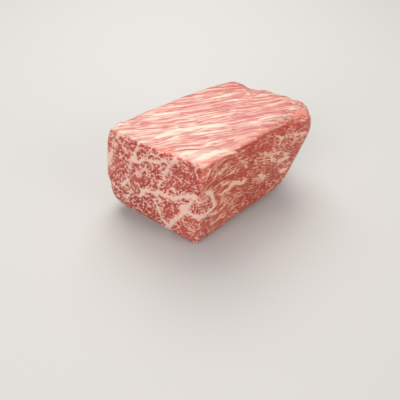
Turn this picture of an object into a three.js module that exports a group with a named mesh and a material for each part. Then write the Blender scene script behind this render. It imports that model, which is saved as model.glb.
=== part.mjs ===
// A hand-cut block of marbled raw beef round, as one solid.
// Frame: millimetres, +X along the block from its near cut end to its far end, +Y across it, +Z up.
// The block lies on its flat underside at z = 0, and the origin is below the middle of its outline.
import * as THREE from "three";
import { mergeVertices } from "three/addons/utils/BufferGeometryUtils.js";

// ---- Driving dimensions ----
const height = 95;

// The block is a box that leans and is skewed, so each corner has a place of its own: x and y before the
// rounding, and how far the rounding reaches along x, y and z. The top is knife-sharp, the base blunter.
// The places are moved together at the end, to bring the origin below the middle.
const corners = [
  { name: "near right top", side: [-1, -1, 1], place: [-49, -40.6], rounding: [2.5, 2.5, 2.5] },
  { name: "near left top", side: [-1, 1, 1], place: [-79.2, 46.8], rounding: [2, 3, 3] },
  { name: "far right top", side: [1, -1, 1], place: [82, -36], rounding: [14, 18, 9] },
  { name: "far left top", side: [1, 1, 1], place: [50.5, 37.8], rounding: [4, 5, 3] },
  { name: "near right base", side: [-1, -1, -1], place: [-55, -38], rounding: [6, 5, 8] },
  { name: "near left base", side: [-1, 1, -1], place: [-90, 58], rounding: [12, 17, 28] },
  { name: "far right base", side: [1, -1, -1], place: [47, -39], rounding: [14, 12, 18] },
  { name: "far left base", side: [1, 1, -1], place: [36, 46], rounding: [14, 14, 16] },
];

// How each side stands out from flat: how far, how high up it peaks (-1 base, 1 top), and what share of
// that is left at its base, at its top and at its two upright edges.
const swells = {
  near: { reach: 5, peak: -0.3, atBase: 0.7, atTop: 0, atEdges: 0.15 },
  far: { reach: 25.5, peak: 0.2, atBase: 0, atTop: 0, atEdges: 0.85 },
  right: { reach: 2, peak: 0, atBase: 0.6, atTop: 0, atEdges: 0.2 },
  left: { reach: 4, peak: 0, atBase: 0, atTop: 0, atEdges: 0.9 },
};
const leftBow = 4.1; // the left side is also bowed all the way up to its top edge
const topDip = 1.0;
const waviness = 0.7; // height of the slow ripples that a knife and soft meat leave
const liftEnds = -0.6; // how high up all this is in full, from nothing at the underside

// The block stands firmly on a flat foot with four corners: shares of its facets along and across, how high
// the underside comes up outside the foot, and how far the foot's edges are hollowed.
const foot = { along: 9 / 15, across: 5 / 11, rise: 0.5, hollow: 1.2 };

// Half the block's usual length, width and height, which turn the roundings into shares of the box.
const usualHalf = [66, 43, height / 2];

// Facets along the block, across it and up it.
const facets = { along: 30, across: 22, up: 20 };

// ---- Helpers on the unit box, whose coordinates run from -1 to 1 ----
const { clamp, smoothstep, lerp } = THREE.MathUtils;
const axes = ["x", "y", "z"];
const hump = (t) => 1 - t * t;

// Spreads facets towards the edges, where the rounding needs them.
const crowd = (t) => 0.7 * Math.sin((t * Math.PI) / 2) + 0.3 * t;

// The mean of a list that every corner has, weighed by how near each corner is to p.
function blended(p, key, ease = (t) => t) {
  const sum = [0, 0, 0];
  for (const corner of corners) {
    let weight = 1;
    axes.forEach((axis, i) => (weight *= ease((1 + corner.side[i] * p[axis]) / 2)));
    corner[key].forEach((value, i) => (sum[i] += weight * value));
  }
  return sum;
}

// Rounds the edges and corners of the unit box.
function rounded(p) {
  const reach = blended(p, "rounding", (t) => smoothstep(t, 0.15, 0.85));
  const core = new THREE.Vector3();
  const out = new THREE.Vector3();
  axes.forEach((axis, i) => {
    reach[i] /= usualHalf[i];
    core[axis] = clamp(p[axis], reach[i] - 1, 1 - reach[i]);
    out[axis] = (p[axis] - core[axis]) / reach[i];
  });
  out.normalize();
  axes.forEach((axis, i) => (core[axis] += out[axis] * reach[i]));
  return core;
}

// How far a side stands out at a place on it, from its height and its place between the upright edges.
function swell({ reach, peak, atBase, atTop, atEdges }, across, up) {
  const rest = up < peak ? atBase : atTop;
  const away = Math.abs(up - peak) / (up < peak ? 1 + peak : 1 - peak);
  return reach * lerp(rest, 1, Math.cos((away * Math.PI) / 2)) * lerp(atEdges, 1, hump(across));
}

// Slow ripples over a side, from its own two coordinates.
function ripple(a, b) {
  const long = Math.sin(3.1 * a + 1.3 * b);
  const cross = Math.sin(5.3 * b - 2.2 * a + 1);
  const short = Math.sin(7.9 * a + 4.7 * b);
  return waviness * (0.5 * long + 0.3 * cross + 0.2 * short);
}

// Moves a point of the skewed block out by its sides' swells and ripples, but not at the underside.
function shaped(q, p) {
  const { near, far, right, left } = swells;
  const lift = smoothstep(p.z, -1, liftEnds);
  const bow = Math.max(p.y, 0) * leftBow * hump(p.x * p.x);
  q.x += lift * p.x * (swell(p.x < 0 ? near : far, p.y, p.z) + ripple(p.y, p.z));
  q.y += lift * (p.y * (swell(p.y < 0 ? right : left, p.x, p.z) + ripple(p.x, p.z)) + bow);
  q.z += lift * Math.max(p.z, 0) * (ripple(p.x, p.y) - topDip * hump(p.x) * hump(p.y));
  q.x -= (1 - lift) * foot.hollow * p.x * hump(p.y);
  q.y -= (1 - lift) * foot.hollow * p.y * hump(p.x);
}

function blockGeometry() {
  const box = new THREE.BoxGeometry(2, 2, 2, facets.along, facets.across, facets.up);
  box.deleteAttribute("normal");
  box.deleteAttribute("uv");
  const places = box.attributes.position;
  const p = new THREE.Vector3();
  for (let i = 0; i < places.count; i++) {
    p.fromBufferAttribute(places, i);
    const offFoot = Math.max(Math.abs(p.x) - foot.along, Math.abs(p.y) - foot.across);
    p.set(crowd(p.x), crowd(p.y), crowd(p.z));
    const onBlock = rounded(p);
    const [x, y] = blended(onBlock, "place");
    const q = new THREE.Vector3(x, y, (height * (1 + onBlock.z)) / 2);
    shaped(q, onBlock);
    q.z += foot.rise * smoothstep(offFoot, 0, 0.2) * (1 - smoothstep(p.z, -1, liftEnds));
    places.setXYZ(i, q.x, q.y, q.z);
  }
  const solid = mergeVertices(box);
  solid.computeBoundingBox();
  const middle = solid.boundingBox.getCenter(new THREE.Vector3());
  return solid.translate(-middle.x, -middle.y, 0);
}

const beef = new THREE.MeshStandardMaterial({ color: 0xd98a84, roughness: 0.5, metalness: 0 });

const block = new THREE.Mesh(blockGeometry(), beef);
block.name = "beef_block";

const part = new THREE.Group();
part.add(block);

export default part;
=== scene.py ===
import math

import bmesh
import bpy
import numpy as np
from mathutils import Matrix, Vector, noise


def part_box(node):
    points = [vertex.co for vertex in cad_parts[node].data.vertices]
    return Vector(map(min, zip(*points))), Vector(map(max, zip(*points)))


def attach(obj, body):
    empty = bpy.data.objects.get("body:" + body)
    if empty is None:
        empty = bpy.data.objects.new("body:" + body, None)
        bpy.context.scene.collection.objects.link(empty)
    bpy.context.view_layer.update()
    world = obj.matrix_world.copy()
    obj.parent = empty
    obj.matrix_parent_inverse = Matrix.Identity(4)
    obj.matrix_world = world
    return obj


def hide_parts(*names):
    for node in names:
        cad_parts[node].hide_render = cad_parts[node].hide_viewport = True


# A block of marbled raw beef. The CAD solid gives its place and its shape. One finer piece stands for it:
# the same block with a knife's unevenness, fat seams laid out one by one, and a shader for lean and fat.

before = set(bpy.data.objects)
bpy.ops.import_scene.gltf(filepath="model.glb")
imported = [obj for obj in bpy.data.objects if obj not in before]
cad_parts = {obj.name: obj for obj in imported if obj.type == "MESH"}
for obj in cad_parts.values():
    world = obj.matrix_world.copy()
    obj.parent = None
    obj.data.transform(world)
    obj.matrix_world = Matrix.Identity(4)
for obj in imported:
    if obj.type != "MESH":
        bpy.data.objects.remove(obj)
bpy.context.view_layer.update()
low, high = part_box("beef_block")
middle = (low + high) / 2
mm = 0.001

view = {
    "azimuth": -39.3,  # degrees, counted from looking along +Y
    "elevation": 47.3,
    "distance": 0.3592,  # metres, and the next too
    "aimFromMiddle": (-0.0460, -0.0401, 0.0027),
    "lens": 38.6,  # millimetres
}

studio = {
    "air": (0.86, 0.90, 0.95),
    "airStrength": 0.45,
    "floorSize": 10.0,
    "floorColor": (0.50, 0.49, 0.475),
    "floorRoughness": 0.7,
    # name, where it comes from (azimuth, elevation), distance, size, watts, color
    "lamps": [
        ("overhead", (150, 60), 1.1, 0.9, 13.5, (1.0, 0.97, 0.93)),
        ("front", (-75, 38), 1.2, 0.8, 7.0, (1.0, 0.96, 0.92)),
        ("right", (20, 30), 1.3, 0.6, 4.5, (1.0, 0.93, 0.86)),
    ],
}


# The way to something seen at these angles, in degrees.
def fromAngles(azimuth, elevation):
    a, e = math.radians(azimuth), math.radians(elevation)
    return Vector((math.sin(a) * math.cos(e), -math.cos(a) * math.cos(e), math.sin(e)))


def pointAt(obj, place, aim):
    bpy.context.scene.collection.objects.link(obj)
    obj.location = place
    obj.rotation_euler = (aim - place).to_track_quat("-Z", "Y").to_euler()


def setCamera():
    lens = bpy.data.cameras.new("camera")
    lens.lens = view["lens"]
    lens.clip_start = 0.01
    camera = bpy.data.objects.new("camera", lens)
    aim = middle + Vector(view["aimFromMiddle"])
    away = fromAngles(view["azimuth"], view["elevation"]) * view["distance"]
    pointAt(camera, aim + away, aim)
    bpy.context.scene.camera = camera
    print("camera: a lens of", lens.lens, "mm")


def setLamps():
    for name, angles, distance, size, watts, color in studio["lamps"]:
        lamp = bpy.data.lights.new(name, "AREA")
        lamp.size = size
        lamp.energy = watts
        lamp.color = color
        away = fromAngles(*angles) * distance
        pointAt(bpy.data.objects.new(name, lamp), middle + away, middle)
    world = bpy.data.worlds.new("air")
    world.use_nodes = True
    air = world.node_tree.nodes["Background"]
    air.inputs["Color"].default_value = (*studio["air"], 1)
    air.inputs["Strength"].default_value = studio["airStrength"]
    bpy.context.scene.world = world
    bpy.context.scene.view_settings.view_transform = "Standard"
    print("studio:", len(studio["lamps"]), "lamps and the air")


# Wraps a socket, so that a sum or product of values adds its Math nodes.
class Value:
    def __init__(self, shader, socket):
        self.shader = shader
        self.socket = socket

    def math(self, operation, *values):
        return self.shader.node("Math", {"operation": operation}, dict(enumerate(values)))

    def __add__(self, other):
        return self.math("ADD", self, other)

    def __sub__(self, other):
        return self.math("SUBTRACT", self, other)

    def __mul__(self, other):
        return self.math("MULTIPLY", self, other)

    def __rsub__(self, other):
        return self.math("SUBTRACT", other, self)

    __radd__ = __add__
    __rmul__ = __mul__

    # 0 below start, 1 above end, eased between them
    def ramp(self, start, end):
        settings = {"interpolation_type": "SMOOTHSTEP"}
        return self.shader.node("MapRange", settings, {"Value": self, 1: start, 2: end})

    def most(self, other):
        return self.math("MAXIMUM", self, other)

    def least(self, other):
        return self.math("MINIMUM", self, other)

    # 1 on the line where a cloud pattern is at its middle, 0 at width away from it
    def ridge(self, width):
        return (1 - self.math("ABSOLUTE", self - 0.5) * (1 / width)).most(0)


# A material whose nodes all come from one method.
class Shader:
    def __init__(self, name):
        self.material = bpy.data.materials.new(name)
        self.material.use_nodes = True
        self.tree = self.material.node_tree
        self.tree.nodes.clear()

    def node(self, kind, settings, inputs, output=0):
        made = self.tree.nodes.new("ShaderNode" + kind)
        for key, setting in settings.items():
            setattr(made, key, setting)
        for key, value in inputs.items():
            if isinstance(value, Value):
                self.tree.links.new(value.socket, made.inputs[key])
            else:
                made.inputs[key].default_value = value
        return Value(self, made.outputs[output]) if made.outputs else None

    def attribute(self, name):
        return self.node("Attribute", {"attribute_name": name}, {}, "Fac")

    # clouds with spots of about size millimetres
    def clouds(self, place, size, detail, roughness=0.5, distortion=0.0):
        inputs = {"Vector": place, "Scale": 1 / (size * mm), "Detail": detail}
        inputs.update({"Roughness": roughness, "Distortion": distortion})
        return self.node("TexNoise", {}, inputs)

    # walls between cells of about size millimetres: 1 on them, 0 inside the cells
    def walls(self, place, size, width):
        inputs = {"Vector": place, "Scale": 1 / (size * mm)}
        return 1 - self.node("TexVoronoi", {"feature": "DISTANCE_TO_EDGE"}, inputs).ramp(0, width)

    # one coordinate, in millimetres
    def position(self, place, axis):
        return self.node("SeparateXYZ", {}, {"Vector": place}, axis) * (1 / mm)

    # a pattern turned by degrees, then made longer by the factors in stretch
    def mapped(self, place, turns, stretch):
        inputs = {"Vector": place, "Rotation": [math.radians(t) for t in turns], "Scale": stretch}
        return self.node("Mapping", {"vector_type": "TEXTURE"}, inputs)

    # a pattern pushed about by clouds of a size, as far as reach, both in millimetres
    def shaken(self, place, size, reach):
        clouds = {"Vector": place, "Scale": 1 / (size * mm), "Detail": 1.0}
        push = self.node("TexNoise", {}, clouds, "Color")
        inputs = {0: push, 1: (2 * reach * mm,) * 3, 2: place}
        return self.node("VectorMath", {"operation": "MULTIPLY_ADD"}, inputs)

    # the first color where the factor is 0, the second where it is 1
    def color(self, factor, first, second):
        return self.node("Mix", {"data_type": "RGBA"}, {0: factor, 6: first, 7: second}, 2)

    def finish(self, surface):
        self.node("OutputMaterial", {}, {"Surface": surface})
        return self.material


def makeFloor():
    bm = bmesh.new()
    bmesh.ops.create_grid(bm, x_segments=1, y_segments=1, size=studio["floorSize"] / 2)
    bmesh.ops.translate(bm, verts=bm.verts, vec=(0, 0, low.z))
    mesh = bpy.data.meshes.new("floor")
    bm.to_mesh(mesh)
    bm.free()
    shader = Shader("paleFloor")
    inputs = {"Base Color": (*studio["floorColor"], 1), "Roughness": studio["floorRoughness"]}
    mesh.materials.append(shader.finish(shader.node("BsdfPrincipled", {}, inputs)))
    floor = bpy.data.objects.new("floor", mesh)
    bpy.context.scene.collection.objects.link(floor)
    print("floor:", studio["floorSize"], "m across")


block = {
    # all sizes in millimetres
    "voxel": 0.95,
    "smoothing": 2,
    "doubles": 0.01,
    "endTurn": 20.8,  # degrees from square that the two ends are cut at
    "grainTurn": -25,
    # kinds of unevenness: size of the waves, height, seed
    "sag": (26, 0.5, 1),
    "knife": (9, 0.22, 2),
    "fibre": (2.4, 0.16, 3),
    "cutFibre": (2.4, 0.16, 4),
    "nicks": (3.2, 0.5, 5),
    "lumps": (8, 1.0, 6),
    "seamWander": (6, 1.4, 7),
    "borderWander": (4.5, 0.5, 11),
    "fibreSquash": (0.16, 1, 0.5),
    "seamProud": 0.18,
    "lip": 0.5,
    "groove": 0.9,
    # flaps along the right top edge: where each starts and ends, how far it stands out at its end
    "flaps": ((-50, -17, 4.0), (-17, 8, 2.6), (8, 44, 1.6)),
    # dents, or bulges where the depth is below 0: middle, how far they reach, depth
    "dents": (
        ((57, 8, 93), 13, 2.8),
        ((80, -44, 68), 21, -1.8),
        ((74, -35, 92), 10, -0.7),
        ((-69, 39, 94), 7, -1.5),
        ((-85, 43, 42), 12, -1.5),
    ),
    # where the edge is drawn out: middle, how far it reaches, how far it moves
    "pulls": (((68, -47, 89), 19, (-3.0, -5.5, -3.0)),),
    # how the streaks on the sides fan out: slope far along, where they level off, how softly, length
    "fan": (0.55, 0.45),
    "fanMiddle": -24,
    "fanBend": 14,
    "fanStretch": 3.2,
    # how sharply the looks of the ends, the sides and the top part, along the edges and after softening
    "edgeSharpness": 9,
    "borderSharpness": 6,
    # how many steps marks are spread over: rims, the fold under the top rim, borders between looks
    "rimSteps": 3,
    "foldSteps": 10,
    "borderSteps": 10,
    "borderLean": 0.12,  # how far the look of the end reaches over its edges
    "endOverAbove": 80,
    "topOverRightOf": -30,
    "flapsRightOf": -35,
    # how deep in a seam points count, at the least and at the most, and where seams stand fully proud
    "farOutside": -6.0,
    "outside": -3,
    "fullyProud": 1.5,
    # where marks rise from 0 to 1: heights, then places along X, then places along Y
    "upperPart": (40, 60),
    "offTheFloor": (0, 4),
    "foldStarts": (-42, -34),
    "foldFades": (85, 45),
    "farUpright": (50, 70),
    "rightSide": (-40, -46),
    "lipFades": (15, -15),
    # from how weak a mark counts, and from how strong it counts in full
    "uprightMarks": (0.45, 0.65),
    "sideMarks": (0.697, 1),
    "underMarks": (0.0875, 0.3375),
    "rimMarks": (0, 0.625),
    "foldMarks": (-0.5, 0.75),
    "leftFold": 0.25,  # what is left of the fold on the left side
    "roughRims": ((-12, 20), (1, 0.2)),  # rims are rougher on the right: along Y, how rough
    # low on the right side the look of the end reaches round the edge: along X, then in height
    "roundTheEdge": ((-37, -41), (72, 66)),
    # coral flesh fades below a height, by so much at most, then stops, and it lasts longer far along X
    "coralFades": (93, 25),
    "coralStops": (72, 20),
    "coralLasts": ((30, 60), (1, 0.55)),
    "coralOffSide": 1.5,
    "coralCorner": 6,  # how much less deep coral is away from the right side
}

# Fat seams on the near end as (y, z, width), on the right side as (x, z, width), on top as (x, y, width).
seams = {
    "end": [
        [(27, 94, 3), (29, 89, 2.5), (33.5, 78, 2.5), (35, 72, 4.5), (38, 66, 7), (39.5, 60, 7)],
        [(39.5, 60, 7), (43, 55, 4)],
        [(25, 88, 2), (21, 81, 2.5)],
        [(42, 41, 2), (38, 37, 3.5), (32, 34.5, 3)],
        [(8, 95, 2), (8, 89.5, 2.5), (10, 84.5, 3), (11, 78, 6), (13.5, 73.5, 3)],
        [(13.5, 74, 3), (15.5, 68.5, 2), (16.5, 63.5, 2), (16.5, 56, 2.5), (18.5, 49.5, 5), (21, 46.5, 3)],
        [(11, 75, 5.5), (6, 76, 5), (3, 79.5, 4), (-1, 81.5, 3.5), (-7.5, 83, 4), (-12.5, 85, 4.5)],
        [(-12.5, 85, 4.5), (-16, 87.5, 3), (-22.5, 90, 3), (-25.5, 93, 4)],
        [(3, 79.5, 3), (-0.5, 86.5, 2.5), (-6, 90, 2)],
        [(-26, 91, 3), (-22, 86, 2), (-20, 82, 4), (-18.5, 76, 2.5), (-17.5, 69.5, 3), (-12.5, 59.5, 3)],
        [(4, 50, 2.5), (1, 49, 5.5), (-6, 51.5, 5), (-11, 52, 4.5), (-16, 54.5, 5), (-21, 54, 5)],
        [(-11, 51, 3), (-14.5, 46, 3.5), (-15, 42, 2)],
        [(-21, 54, 5), (-27.5, 53.5, 5.5), (-30, 56, 5), (-33.5, 59, 5), (-40, 61.5, 5.5), (-45, 64, 6)],
        [(-45, 64, 6), (-42.5, 59.5, 3), (-41.5, 54.5, 3), (-39, 51, 5), (-36, 47.5, 8), (-37, 42, 6)],
        [(-37, 43, 5), (-42, 43.5, 5), (-49, 40, 6)],
        [(-42, 63, 4), (-49, 58.5, 4.5)],
        [(-37, 42, 6), (-33.5, 36, 5), (-29.5, 29, 5), (-25, 22, 5), (-19, 9.5, 7), (-14, 2, 8)],
        [(-33.5, 34.5, 1.2), (-38.5, 28.5, 1.6), (-42.5, 23.5, 2), (-43, 18.5, 1.6)],
        [(-9, 44.5, 2), (-12, 38, 3), (-15.5, 33.5, 3.5), (-16, 25, 2.5), (-20, 19.5, 4)],
        [(13, 41, 2), (16.5, 34.5, 3), (20.5, 27, 3)],
        [(27, 42, 2), (23, 43, 4.5), (20, 46.5, 5)],
        [(1, 49, 5.5), (2.5, 44, 6), (5, 40, 3)],
        [(8, 66, 2), (6, 61, 3), (3, 64, 2)],
        [(-25, 63, 4), (-28, 61, 3)],
        [(1, 71, 2.5), (-4, 72, 2)],
    ],
    "side": [
        [(-47.5, 82.5, 3), (-45.5, 86.5, 5), (-43, 89.5, 3)],
        [(-39.5, 89, 2.5), (-34, 93, 4), (-28, 92.5, 2)],
        [(-46.5, 68.5, 4), (-41.5, 62.5, 5), (-39.5, 55.5, 4), (-37.5, 46.5, 4.5), (-42, 42.5, 4.5)],
        [(-42, 42.5, 4.5), (-47, 40.5, 5), (-53, 40, 6)],
        [(-54, 59, 4), (-48, 58, 2.5), (-43, 62, 3.5)],
        [(-42, 38, 2), (-35.5, 34.5, 4)],
        [(-34.5, 56, 2), (-28, 54, 3), (-22, 54.5, 3), (-18, 59, 5), (-13, 57, 4), (-8, 54.5, 5)],
        [(-8, 54.5, 5), (-3, 53.5, 3)],
        [(-47, 73.5, 1.5), (-40.5, 76, 2), (-35.5, 78.5, 2), (-29.5, 82, 2), (-25.5, 83.5, 1.5)],
        [(-31, 66.5, 2), (-26, 64, 4), (-21, 63.5, 2)],
        [(-4.5, 68.5, 3), (-2, 72, 3)],
        [(12, 75, 3), (20, 70, 3), (26, 66.5, 4), (28.5, 60, 5), (33, 57, 4)],
        [(27, 68, 3), (37, 62, 4)],
        [(38.5, 51, 4), (44.5, 51, 5), (49.5, 49.5, 5), (53.5, 47, 3)],
        [(47, 54.5, 3), (53, 54, 2)],
        [(44.5, 77, 2), (52, 73.5, 3), (59.5, 71, 4), (67, 69, 3), (74.5, 66, 2)],
        [(54.5, 78.5, 2), (59, 72, 3), (62, 67, 2)],
        [(34, 83, 2), (40, 77, 4), (37, 73, 2)],
        [(14.5, 49, 5), (21, 43.5, 4), (27, 41, 2)],
        [(47, 34.5, 5), (53.5, 33.5, 4)],
        [(51, 40.5, 3), (58, 37.5, 3)],
        [(-23, 73, 2), (-17, 72, 3)],
        [(-31, 35, 2), (-26, 37, 4)],
        [(-42, 20, 2), (-34, 22.5, 4), (-28, 24.5, 2.5)],
    ],
    "top": [
        [(-54.5, 4, 4), (-45.5, 3, 6), (-35.5, 0.5, 6), (-25.5, -5, 5), (-18, -8.5, 5)],
        [(-18, -8.5, 5), (-10.5, -12.5, 4.5)],
        [(-10.5, -12.5, 4.5), (-3, -17.5, 4), (4.5, -20, 1.5)],
        [(-49.5, -5, 3), (-42, -6, 4), (-37, -8.5, 2)],
        [(-53, -26, 4), (-48, -27.5, 6), (-40.5, -30, 4), (-34.5, -32.5, 2)],
        [(-30.5, -27.5, 2), (-23, -28.5, 3), (-17, -32.5, 1.5)],
        [(-47, -38, 5), (-38, -38.5, 6), (-29.5, -41, 6), (-23, -45, 5), (-20, -48, 4)],
        [(-72, 9.5, 4), (-60, 3.5, 3)],
        [(-76, 36, 2), (-69.5, 35.5, 3), (-64.5, 31.5, 2)],
        [(-39.5, 29, 3), (-32, 25.5, 5), (-23, 20.5, 2.5)],
        [(8.5, 18, 1.5), (19.5, 15.5, 3), (29.5, 11.5, 2.5), (42, 10.5, 1)],
        [(20, -30.5, 1.5), (28, -33, 3), (35, -36, 3.5), (44, -39, 3), (51.5, -41, 1.5)],
        [(44.5, -7.5, 1), (53.5, -7.5, 3), (59.5, -8.5, 1)],
        [(46.5, 9, 1), (45, 2.5, 2), (42.5, -4.5, 1)],
        [(-52, 31.5, 1), (-35.5, 21.5, 1.5), (-18, 11.5, 1.5), (-0.5, 1.5, 1.5)],
        [(-0.5, 1.5, 1.5), (16, -7.5, 1.5), (32, -16, 1)],
        [(-79, 30, 3), (-64, 21.5, 2.5), (-48, 12, 1)],
        [(-76, 21, 2), (-70, 16, 3)],
        [(-32, -10.5, 2), (-24, -14.5, 4), (-15, -18.5, 3.5), (-2, -26, 2.5)],
        [(21, 6, 2), (29, 2.5, 4), (37, -4, 2)],
        [(48, -23, 1), (60, -26.5, 2.5), (74, -31, 1.5)],
        [(55, -35.5, 1.5), (65, -37.5, 2.5), (74, -38, 1)],
    ],
}

# Coral flesh along the top edges, seen from above as (x, y, width).
coralBands = [
    [(-49, -44, 2), (-34, -46.5, 5), (-18, -49, 9)],
    [(-16, -45, 4), (-4, -46.5, 5), (8, -48, 6)],
    [(9, -46, 5), (30, -47, 5), (50, -47, 6), (62, -46, 8), (71, -45.5, 7), (79, -42, 2)],
    [(-66, 5, 2), (-63, -2, 2)],
    [(-60, -10, 3), (-58, -17, 4)],
    [(-52, -34, 2), (-49.5, -39, 3), (-48, -44, 3)],
]

# On the right side as (x, z, width): coral flesh at the near corner, and the folds under the rim, where
# dark shade is painted.
cornerBands = [[(-50, 84, 5), (-49, 89, 6), (-45, 93, 5)], [(-50.5, 67, 3), (-50, 61, 4)]]
foldBands = [
    [(-50, 79, 1.5), (-45.5, 79, 2.5), (-41, 88, 2.5), (-31, 93, 2.5)],
    [(48, 87, 2), (58, 84, 4), (70, 83, 6), (80, 82, 7)],
]

# Where the top reaches down over the right side, as (x, z, width).
topOver = [
    (12, 93, 1), (28, 92, 4), (40, 91.5, 5.5), (54, 91, 7), (63, 91.5, 9), (71, 92, 10), (80, 92, 10),
]

# Where the cut of the near end reaches up over its top edge, as (x, y, width).
endOver = [(-66, -5, 5), (-60.5, -19, 7), (-57.5, -28, 7.5), (-53.5, -37, 8), (-52, -43, 6)]


# A copy of the CAD node's mesh, with its doubles merged.
def mergedCopy(node):
    bm = bmesh.new()
    bm.from_mesh(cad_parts[node].data)
    bmesh.ops.remove_doubles(bm, verts=bm.verts, dist=block["doubles"] * mm)
    mesh = bpy.data.meshes.new("roughBlock")
    bm.to_mesh(mesh)
    bm.free()
    return mesh


# The same shape in small even faces.
def denseMesh(obj):
    remesh = obj.modifiers.new("remesh", "REMESH")
    remesh.mode = "VOXEL"
    remesh.voxel_size = block["voxel"] * mm
    remesh.use_smooth_shade = True
    seen = obj.evaluated_get(bpy.context.evaluated_depsgraph_get())
    mesh = bpy.data.meshes.new_from_object(seen)
    obj.modifiers.clear()
    bm = bmesh.new()
    bm.from_mesh(mesh)
    axes = {"use_axis_x": True, "use_axis_y": True, "use_axis_z": True}
    for _ in range(block["smoothing"]):
        bmesh.ops.smooth_vert(bm, verts=bm.verts, factor=0.5, **axes)
    bm.to_mesh(mesh)
    bm.free()
    return mesh


# A finer piece in place of a CAD node.
def denseCopy(node):
    rough = mergedCopy(node)
    obj = bpy.data.objects.new("beefMarbled", rough)
    bpy.context.scene.collection.objects.link(obj)
    obj.data = denseMesh(obj)
    bpy.data.meshes.remove(rough)
    return obj


# How squarely each point faces the way of the ends, of the sides, and up or down, from 0 to 1.
def facing(normals):
    turn = math.radians(block["endTurn"])
    ways = [(math.cos(turn), math.sin(turn), 0), (0, 1, 0), (0, 0, 1)]
    return np.abs(normals @ np.transpose(ways)).T


# Values for the three kinds of face, sharpened, and scaled to add up to 1 at each point.
def shared(rows, sharpness):
    rows = np.clip(rows, 0.01, 1) ** sharpness
    return rows / rows.sum(axis=0)


# 0 at start and before, 1 at end and after, evenly between. Start may be the larger.
def rising(values, start, end):
    return np.clip((values - start) / (end - start), 0, 1)


# 1 at a middle, gently down to 0 as far as reach from it.
def around(places, center, reach):
    away = np.linalg.norm(places - center, axis=1) / reach
    return np.clip(1 - away * away, 0, 1) ** 2


# How far inside a seam each point lies, in millimetres, and below 0 outside.
def seamDepth(across, up, lines):
    depth = np.full(len(across), block["farOutside"])
    for line in lines:
        for (a0, u0, w0), (a1, u1, w1) in zip(line, line[1:]):
            da, du = a1 - a0, u1 - u0
            t = np.clip(((across - a0) * da + (up - u0) * du) / (da * da + du * du), 0, 1)
            away = np.hypot(across - a0 - t * da, up - u0 - t * du)
            depth = np.maximum(depth, (w0 + (w1 - w0) * t) / 2 - away)
    return depth


# Waves of a kind from the dictionary. More sets of one kind differ by their seeds.
def waves(places, kind, squash=(1, 1, 1), more=0):
    size, height, seed = block[kind]
    seedStep = 7.3
    scaled = places / size * squash + (seed + more) * seedStep
    return height * np.array([noise.noise(p) for p in scaled.tolist()])


# The points of the block in millimetres. The functions below add what they find out about each point.
class Points:
    def __init__(self, mesh):
        self.places = self.read(mesh.vertices, "co") / mm
        self.normals = self.read(mesh.vertex_normals, "vector")
        self.x, self.y, self.z = self.places.T
        edges = np.empty(len(mesh.edges) * 2, dtype=np.int32)
        mesh.edges.foreach_get("vertices", edges)
        self.edgeEnds = edges.reshape(-1, 2).T

    def read(self, items, name):
        values = np.empty(len(items) * 3)
        items.foreach_get(name, values)
        return values.reshape(-1, 3)

    # marks spread to the neighbours, some steps along edges
    def softened(self, marks, steps):
        a, b = self.edgeEnds
        count = len(marks)
        degree = np.bincount(a, minlength=count) + np.bincount(b, minlength=count)
        for _ in range(steps):
            near = np.bincount(a, marks[b], count) + np.bincount(b, marks[a], count)
            marks = (marks + near / degree) / 2
        return marks


# The rims, the fold under the right top edge, which is carved as a groove and painted with dark red shade,
# and where the top reaches over it.
def markRims(points):
    x, y, z = points.x, points.y, points.z
    toEnd, toSide, toTop = facing(points.normals)
    points.toTop = toTop
    points.shares = shared((toEnd, toSide, toTop), block["edgeSharpness"])
    upper = rising(z, *block["upperPart"])
    levelEdge = 4 * toTop ** 2 * (1 - toTop ** 2)  # 1 halfway round a level edge
    upright = rising(np.minimum(toEnd, toSide), *block["uprightMarks"]) * (1 - toTop)
    points.topRim = points.softened(levelEdge, block["rimSteps"]) * upper
    points.frontRim = points.softened(upright * (x < 0), block["rimSteps"])
    points.onRight = rising(y, *block["rightSide"])
    reachesDown = np.clip(seamDepth(x, z, [topOver]), 0, 1)
    points.over = reachesDown * (y < block["topOverRightOf"])

    onSide = rising(points.shares[1], *block["sideMarks"]) * np.where(y < 0, 1, block["leftFold"])
    along = rising(x, *block["foldFades"]) * rising(x, *block["foldStarts"])
    under = rising(points.softened(levelEdge, block["foldSteps"]), *block["underMarks"])
    farCorner = upright * rising(x, *block["farUpright"]) * (y < 0)
    belowTop = np.maximum(under * onSide * along, farCorner) * upper
    fold = rising(seamDepth(x, z, foldBands), *block["foldMarks"]) * points.onRight
    points.shadedGrooveBelowRim = np.maximum(belowTop, fold) * (1 - points.over)


# How much of the look of the ends, the sides and the top each point has. The borders wander.
def markFaces(points):
    shares = points.shares
    for i in range(3):
        border = waves(points.places, "borderWander", more=i)
        shares[i] = points.softened(shares[i], block["borderSteps"]) + border
    reachesUp = np.clip(seamDepth(points.x, points.y, [endOver]), 0, 1)
    shares[0] += block["borderLean"] + reachesUp * (points.z > block["endOverAbove"])
    shares[2] += points.over
    points.end, points.side, points.flat = shared(shares, block["borderSharpness"])


# How deep each point lies in a seam. A hidden face has the seams of the one across from it.
def markSeams(points):
    wander = np.stack([waves(points.places, "seamWander", more=i) for i in range(3)], axis=1)
    x, y, z = (points.places + wander * (1 - points.flat[:, None])).T
    toX, toY, toZ = points.normals.T
    faces = {
        "end": (points.end, np.where(toX < 0, y, -y), z),
        "side": (points.side, np.where(toY < 0, x, -x), z),
        "top": (points.flat, x, np.where(toZ > 0, y, -y)),
    }
    points.depth = np.zeros(len(x))
    for face, (share, across, up) in faces.items():
        inFace = np.maximum(seamDepth(across, up, seams[face]), block["outside"])
        points.depth += share * inFace

    alongX, inHeight = block["roundTheEdge"]
    roundEdge = rising(x, *alongX) * rising(z, *inHeight) * (y < 0) * points.side
    points.end = points.end + roundEdge
    points.side = points.side - roundEdge


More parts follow.
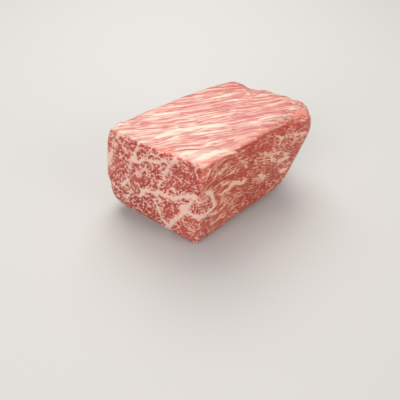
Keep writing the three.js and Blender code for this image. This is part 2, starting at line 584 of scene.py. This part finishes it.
# Places turned so that the first number runs along the grain.
def grained(points):
    turn = math.radians(block["grainTurn"])
    along = points.x * math.cos(turn) + points.y * math.sin(turn)
    across = points.y * math.cos(turn) - points.x * math.sin(turn)
    return np.stack([along, across, points.z], axis=1)


# How far each point stands out from the plain block.
def lifted(points, onLip):
    places, grain = points.places, grained(points)
    lift = waves(places, "sag") + waves(places, "knife")
    lift += waves(grain, "fibre", block["fibreSquash"]) * (1 - points.end)
    lift += waves(grain, "cutFibre") * points.end
    nearRim = rising(points.topRim + points.frontRim, *block["rimMarks"])
    onRim = nearRim * np.interp(points.y, *block["roughRims"])
    lift += onRim * (waves(places, "nicks") + waves(places, "lumps"))
    lift += block["seamProud"] * np.clip(points.depth / block["fullyProud"], -1, 1)
    lift += onLip * block["lip"] - points.shadedGrooveBelowRim * block["groove"]
    for center, reach, deep in block["dents"]:
        lift -= deep * around(places, center, reach)
    return lift * rising(points.z, *block["offTheFloor"])


# How far the flaps stand out to the right.
def flapsOut(points, onLip):
    out = np.zeros(len(points.x))
    for start, stop, rise in block["flaps"]:
        part = (points.x - start) / (stop - start)
        out += np.where((part > 0) & (part < 1), rise * part ** 3, 0)
    return out * onLip * (points.y < block["flapsRightOf"])


# Where the points go: lifted, out with the flaps, and drawn out at the corner, but not below the floor.
def movedPlaces(points):
    onLip = rising(points.topRim, *block["rimMarks"]) * (1 - points.shadedGrooveBelowRim)
    onLip = onLip * rising(points.y, *block["lipFades"])
    move = points.normals * lifted(points, onLip)[:, None]
    move[:, 1] -= flapsOut(points, onLip)
    for center, reach, way in block["pulls"]:
        move += np.outer(around(points.places, center, reach), way)
    moved = points.places + move
    moved[:, 2] = np.maximum(moved[:, 2], 0)
    return moved


# Places for the streaks on the sides, bowed so that even streaks fan out there.
def fannedPlaces(points):
    middle, bend = block["fanMiddle"], block["fanBend"]
    fromMiddle = np.where(points.normals[:, 1] < 0, points.x, -points.x) - middle
    bow = np.where(fromMiddle < 0, *block["fan"]) * (np.hypot(fromMiddle, bend) - bend)
    return np.stack([points.x / block["fanStretch"], points.y, points.z + bow], axis=1)


# How deep each point lies in coral flesh, in millimetres.
def coralDepth(points, moved):
    x, y, z = moved.T
    top, most = block["coralFades"]
    drop = np.clip(top - points.z, 0, most) * np.interp(points.x, *block["coralLasts"])
    top, most = block["coralStops"]
    drop += np.clip(top - points.z, 0, most)
    alongEdges = seamDepth(x, y, coralBands) - drop - block["coralOffSide"] * points.side
    offCorner = block["coralCorner"] * (1 - points.onRight)
    return np.maximum(alongEdges, seamDepth(x, z, cornerBands) - offCorner)


# One value for each point, under a name that the material reads.
def addAttribute(mesh, name, kind, field, values):
    layer = mesh.attributes.new(name, kind, "POINT")
    layer.data.foreach_set(field, values.astype(np.float32).ravel())


def unevenBlock(obj):
    mesh = obj.data
    points = Points(mesh)
    markRims(points)
    markFaces(points)
    markSeams(points)
    moved = movedPlaces(points)
    mesh.vertices.foreach_set("co", (moved * mm).ravel())
    marks = {
        "endShare": points.end,
        "sideShare": points.side,
        "seamDepth": points.depth,
        "upward": points.toTop,
        "frontRim": points.frontRim,
        "shadedGrooveBelowRim": points.shadedGrooveBelowRim,
        "coralDepth": coralDepth(points, moved),
    }
    for name, values in marks.items():
        addAttribute(mesh, name, "FLOAT", "value", values)
    addAttribute(mesh, "sideGrain", "FLOAT_VECTOR", "vector", fannedPlaces(points) * mm)
    mesh.update()


meat = {
    # deep lean, lean, pale lean, flecks of fat, broad seams of fat
    "end": (
        (0.33, 0.025, 0.020),
        (0.43, 0.050, 0.038),
        (0.56, 0.110, 0.078),
        (0.80, 0.46, 0.37),
        (0.84, 0.55, 0.45),
    ),
    # the level tones: fat darker than on the ends, a shaded copy that offsets the strong overhead lamp
    "flat": (
        (0.40, 0.083, 0.064),
        (0.48, 0.135, 0.112),
        (0.53, 0.205, 0.170),
        (0.60, 0.42, 0.34),
        (0.61, 0.53, 0.43),
    ),
    # the sides' tones: warmer than the ends', standing in for warm bounce light on the half-shaded side,
    # painted light over their own colour
    "side": (
        (0.34, 0.024, 0.007),
        (0.48, 0.056, 0.025),
        (0.58, 0.103, 0.056),
        (0.79, 0.425, 0.295),
        (0.87, 0.54, 0.40),
    ),
    "coral": (0.60, 0.165, 0.120),
    # painted light: the steep and far coral are lighter copies of coral, for rims that turn away from the
    # lamps
    "litSteepCoral": (0.72, 0.155, 0.11),
    "litFarCoral": (0.72, 0.245, 0.185),
    # painted shade: dark red in the groove under the top rim
    "shadedGrooveBelowRim": (0.55, 0.065, 0.045),
    # near-white of the glints painted along the near upright edge: painted highlights
    "frontRim": (0.95, 0.72, 0.62),
    "warmEnd": (0.60, 0.12, 0.065),
    # painted shade: darker, browner lean low on the ends and sides
    "shadedLowLean": (0.35, 0.028, 0.010),
    # painted light: lighter lean low at the near corner
    "litCornerLean": (0.60, 0.095, 0.065),
    # sizes of the fat's patterns in millimetres
    "endSizes": {"worms": 5.2, "walls": 4.3, "specks": 2.2, "fine": 1.2, "patches": 9},
    "topSizes": {"broad": 3.6, "thin": 1.5, "fine": 0.9, "patches": 20},
    "sideSizes": {"net": 3.2, "walls": 3.6, "specks": 1.25, "fine": 0.7, "patches": 11},
    # how much each pattern counts
    "endCounts": {"worms": 0.16, "walls": 0.21, "specks": 0.85, "fine": 0.55, "patches": 0.25},
    "topCounts": {"broad": 0.7, "thin": 1.5, "fine": 0.6, "patches": 0.3},
    "sideCounts": {"net": 0.18, "walls": 0.2, "specks": 0.85, "fine": 0.8, "patches": 0.8},
    # the sum of the patterns at which fat starts to show, and at which it is whole
    "endShows": (-0.01, 0.23),
    "topShows": (-0.12, 0.26),
    "sideShows": (0.04, 0.27),
    # where marks rise from 0 to 1, in millimetres: in height, along X, along Y, along both
    "lowDown": (30, 70),
    "farAlong": (-20, 60),
    "nearPart": (-45, 5),
    "leftHalf": (-6, 14),
    "leftSide": (-20, 30),
    "warmLeft": (18, 44),
    "nearCorner": (-96, -74),
    "levelUp": (0.3, 0.9),  # how squarely a point faces up
    # how patterns are pushed about: size and reach, then turned on the ends, then made longer
    "endShaken": (3.8, 1.2),
    "topShaken": (18, 2.4),
    "sideShaken": (2.8, 0.9),
    "shortShaken": (5, 0.5),
    "endTurn": -50,
    "endStretch": (1, 1.4, 1),
    "broadStretch": (16, 1, 1),
    "thinStretch": (26, 1, 1),
    "shortStretch": (12, 1, 1),
    # how wide the lines of the patterns are, as shares of their range
    "wormWidth": 0.12,
    "netWidth": 0.14,
    "wallWidth": 0.24,
    # fat round the seams: how much more for each millimetre nearer, and at most
    "nearSeam": (0.04, 0.12),
    # less fat: low on the ends, then far along the top, then far along its left half
    "lessLow": 0.03,
    "lessFar": 0.03,
    "lessFarLeft": 0.22,
    "lessOnCoral": (0.5, 0.25),  # everywhere, and more far along
    "lessFatInFoldShade": 0.7,
    "deepAt": 0.33,  # how far below the fat's start the lean is deepest
    # how far the patterns push the borders of seams, in millimetres, and how soft the borders are
    "raggedEnd": 3.5,
    "raggedTop": 5,
    "raggedSide": (7, 5, 0.1),
    "seamBorder": (-0.3, 1.3),
    # clouds that break up rims, and how far: the warm part, the near rim, the coral
    "rimClouds": 5,
    "warmPush": 24,
    "rimPush": 2.6,
    "coralPush": 9,
    "rimShows": (0.30, 0.75),
    "coralShows": (-1.8, 2.4),
    # clouds: size, and from where to where they show
    "blush": (6, 0.35, 0.68),
    # painted highlights
    "glints": (1.5, 0.58, 0.70),
    "wet": (1.6, 0.5, 0.75),
    # how strongly a tone covers the lean
    "leftSteep": 0.8,  # how much of the side's own tones the left side lacks
    "deepShare": 0.8,
    "warmShare": 0.75,
    "lowShadeShares": (0.68, 0.25),  # on the ends, on the sides
    "cornerLightShares": (0.6, 0.85),  # at the near corner, on the near part of the side
    "coralShare": 0.85,
    "foldShadeShare": 0.8,
    "glintShare": 0.7,
    # shine
    "roughness": 0.42,
    "roughFat": 0.06,
    "wetness": 0.24,
    "bump": 0.4,  # millimetres, and the next too
    "fibreSize": 0.8,
    "refraction": 1.42,
    "glow": 0.15,  # light let in under the surface, and its radius and scale in millimetres
    "glowRadius": (1.0, 0.35, 0.25),
    "glowScale": 1.2,
}


# A color of the meat, as the nodes take it.
def tone(name):
    return (*meat[name], 1)


# Where a point of the block is, as values that the look follows, most of them from 0 to 1.
class Where:
    def __init__(self, s):
        self.place = s.node("TexCoord", {}, {}, "Object")
        self.x, self.y, self.z = [s.position(self.place, axis) for axis in "XYZ"]
        self.end = s.attribute("endShare")
        self.side = s.attribute("sideShare")
        self.flat = 1 - self.end - self.side
        self.depth = s.attribute("seamDepth")
        slope, most = meat["nearSeam"]
        self.nearSeam = (self.depth * slope + most).most(0).least(most)
        self.lowDown = 1 - self.z.ramp(*meat["lowDown"])
        self.farAlong = self.x.ramp(*meat["farAlong"])
        self.farLeft = self.farAlong * self.y.ramp(*meat["leftHalf"])
        self.onLeft = self.y.ramp(*meat["leftSide"])
        self.upward = s.attribute("upward").ramp(*meat["levelUp"])
        self.rimNoise = s.clouds(self.place, meat["rimClouds"], 1.5) - 0.5
        rim = s.attribute("frontRim") + self.rimNoise * meat["rimPush"]
        self.frontRim = rim.ramp(*meat["rimShows"])
        self.shadedGrooveBelowRim = s.attribute("shadedGrooveBelowRim")
        coral = s.attribute("coralDepth") + self.rimNoise * meat["coralPush"]
        self.coral = coral.ramp(*meat["coralShows"])


# Ends: the grain is cut across, so the fat shows as a net of short worms and specks.
def endPatterns(s, at):
    sizes = meat["endSizes"]
    shaken = s.shaken(at.place, *meat["endShaken"])
    crossed = s.mapped(shaken, (meat["endTurn"], 0, 0), meat["endStretch"])
    return {
        "worms": s.clouds(crossed, sizes["worms"], 1.5).ridge(meat["wormWidth"]) - 0.5,
        "walls": s.walls(crossed, sizes["walls"], meat["wallWidth"]) - 0.4,
        "specks": s.clouds(crossed, sizes["specks"], 1.0, 0.5, 0.3) - 0.5,
        "fine": s.clouds(crossed, sizes["fine"], 1.0) - 0.5,
        "patches": s.clouds(at.place, sizes["patches"], 1.5) - 0.5,
    }


# Short streaks along the grain, which the fine relief follows too.
def shortGrain(s, at):
    shaken = s.shaken(at.place, *meat["shortShaken"])
    return s.mapped(shaken, (0, 0, block["grainTurn"]), meat["shortStretch"])


# Top and underside: long thin streaks along the grain.
def topPatterns(s, at):
    sizes = meat["topSizes"]
    turns = (0, 0, block["grainTurn"])
    wavy = s.shaken(at.place, *meat["topShaken"])
    broad = s.mapped(wavy, turns, meat["broadStretch"])
    thin = s.mapped(wavy, turns, meat["thinStretch"])
    return {
        "broad": s.clouds(broad, sizes["broad"], 1.0) - 0.5,
        "thin": s.clouds(thin, sizes["thin"], 1.5, 0.6) - 0.5,
        "fine": s.clouds(shortGrain(s, at), sizes["fine"], 1.0, 0.6) - 0.5,
        "patches": s.clouds(at.place, sizes["patches"], 1.0) - 0.5,
    }


# Sides: thin streaks that fan out over the face.
def sidePatterns(s, at):
    sizes = meat["sideSizes"]
    grain = s.node("Attribute", {"attribute_name": "sideGrain"}, {}, "Vector")
    fanned = s.shaken(grain, *meat["sideShaken"])
    return {
        "net": s.clouds(fanned, sizes["net"], 1.0).ridge(meat["netWidth"]) - 0.5,
        "walls": s.walls(fanned, sizes["walls"], meat["wallWidth"]) - 0.4,
        "specks": s.clouds(fanned, sizes["specks"], 1.0, 0.5, 0.3) - 0.5,
        "fine": s.clouds(fanned, sizes["fine"], 1.0) - 0.5,
        "patches": s.clouds(at.place, sizes["patches"], 1.5) - 0.5,
    }


# The patterns added up, each as far as it counts.
def summed(patterns, counts):
    first, *others = [patterns[name] * count for name, count in counts.items()]
    for other in others:
        first = first + other
    return first


# Adds how much fat a point shows, how far it is in a seam, and how deep its lean is.
def spreadFat(s, at):
    end, top, side = endPatterns(s, at), topPatterns(s, at), sidePatterns(s, at)
    endSum = summed(end, meat["endCounts"]) + at.nearSeam - at.lowDown * meat["lessLow"]
    less = at.farAlong * meat["lessFar"] + at.farLeft * meat["lessFarLeft"]
    topSum = summed(top, meat["topCounts"]) + at.nearSeam - less
    sideSum = summed(side, meat["sideCounts"]) + at.nearSeam
    lack = 0 - (endSum * at.end + topSum * at.flat + sideSum * at.side)
    at.deep = lack.ramp(0, meat["deepAt"])

    ragged = end["specks"] * at.end * meat["raggedEnd"] + top["thin"] * at.flat * meat["raggedTop"]
    specks, fine, always = meat["raggedSide"]
    ragged = ragged + (side["specks"] * specks + side["fine"] * fine + always) * at.side
    at.inSeam = (at.depth + ragged).ramp(*meat["seamBorder"])
    endFat = endSum.ramp(*meat["endShows"]) * at.end
    topFat = topSum.ramp(*meat["topShows"]) * at.flat
    sideFat = sideSum.ramp(*meat["sideShows"]) * at.side
    fat = (endFat + topFat + sideFat).most(at.inSeam)
    always, farther = meat["lessOnCoral"]
    fat = fat * (1 - at.coral * (at.farAlong * farther + always))
    # fewer flecks in the groove under the top rim, as part of its painted shade
    at.fat = fat * (1 - at.shadedGrooveBelowRim * meat["lessFatInFoldShade"])


# Deep lean, lean, pale lean, flecks and seams of fat, each mixed from the tones of the faces. The tones
# are partly lit and shaded copies of the meat: the darker level tones serve where a point faces up into
# the strong overhead lamp, and the warmer side tones on steep parts.
def faceTones(s, at):
    level = at.flat * at.upward
    steep = (1 - at.end - level) * (1 - at.onLeft * meat["leftSteep"])
    tones = [[(*color, 1) for color in meat[face]] for face in ("end", "flat", "side")]
    return [s.color(steep, s.color(level, a, b), c) for a, b, c in zip(*tones)]


# The lean in its own tones, then with those of places: warm; painted shade low down; painted light at the
# near corner; coral, lit up with painted light on steep and far parts; and painted shade in the fold under
# the top rim.
def leanColor(s, at, deepLean, lean, paleLean):
    size, *shows = meat["blush"]
    blush = s.clouds(at.place, size, 2.5).ramp(*shows)
    lean = s.color(at.deep * meat["deepShare"], s.color(blush, lean, paleLean), deepLean)
    warm = (at.y + at.rimNoise * meat["warmPush"]).ramp(*meat["warmLeft"]) * at.end
    lean = s.color(warm * meat["warmShare"], lean, tone("warmEnd"))
    # painted shade: the lean darker and browner low on the ends and sides
    onEnd, onSide = meat["lowShadeShares"]
    lean = s.color(at.lowDown * (at.end * onEnd + at.side * onSide), lean, tone("shadedLowLean"))
    # painted light: lighter lean low at the near corner and on the near part of the side
    atCorner, onSide = meat["cornerLightShares"]
    nearCorner = 1 - (at.x + at.y).ramp(*meat["nearCorner"])
    nearPart = at.side * (1 - at.onLeft) * (1 - at.x.ramp(*meat["nearPart"]))
    paintedCornerLight = (nearCorner * atCorner).most(nearPart * onSide) * at.lowDown
    lean = s.color(paintedCornerLight, lean, tone("litCornerLean"))
    # coral lightened with painted light on steep parts, and far along X where the rim slopes away from the
    # lamps
    levelCoralLitFar = s.color(at.farAlong, tone("coral"), tone("litFarCoral"))
    coral = s.color(at.upward, tone("litSteepCoral"), levelCoralLitFar)
    lean = s.color(at.coral * meat["coralShare"], lean, coral)
    # painted shade in the groove and fold under the top rim
    return s.color(at.shadedGrooveBelowRim * meat["foldShadeShare"], lean, tone("shadedGrooveBelowRim"))


# Lean and fat in color, painted glints along the near upright edge, a little relief of the fibres, and a
# wet shine.
def beefMaterial():
    s = Shader("marbledBeef")
    at = Where(s)
    spreadFat(s, at)
    deepLean, lean, paleLean, fleck, suet = faceTones(s, at)
    lean = leanColor(s, at, deepLean, lean, paleLean)
    color = s.color(at.fat, lean, s.color(at.inSeam, fleck, suet))
    # painted highlights: near-white glints along the near upright edge
    size, *shows = meat["glints"]
    glints = s.clouds(at.place, size, 1.0).ramp(*shows) * at.frontRim
    color = s.color(glints * meat["glintShare"], color, tone("frontRim"))

    fibres = s.clouds(shortGrain(s, at), meat["fibreSize"], 2.0)
    inputs = {"Strength": 0.5, "Distance": meat["bump"] * mm, "Height": (at.fat + fibres) * 0.5}
    bump = s.node("Bump", {}, inputs)
    size, *shows = meat["wet"]
    wet = s.clouds(at.place, size, 1.0).ramp(*shows).most(at.frontRim)
    surface = {
        "Base Color": color,
        "Roughness": meat["roughness"] + at.fat * meat["roughFat"] - wet * meat["wetness"],
        "Normal": bump,
        "IOR": meat["refraction"],
        "Subsurface Weight": meat["glow"],
        "Subsurface Radius": meat["glowRadius"],
        "Subsurface Scale": meat["glowScale"] * mm,
    }
    return s.finish(s.node("BsdfPrincipled", {}, surface))


def makeBeef():
    obj = denseCopy("beef_block")
    unevenBlock(obj)
    obj.data.materials.clear()
    obj.data.materials.append(beefMaterial())
    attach(obj, "root")
    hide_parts("beef_block")
    print("beef block:", len(obj.data.polygons), "faces")


setCamera()
setLamps()
makeFloor()
makeBeef()
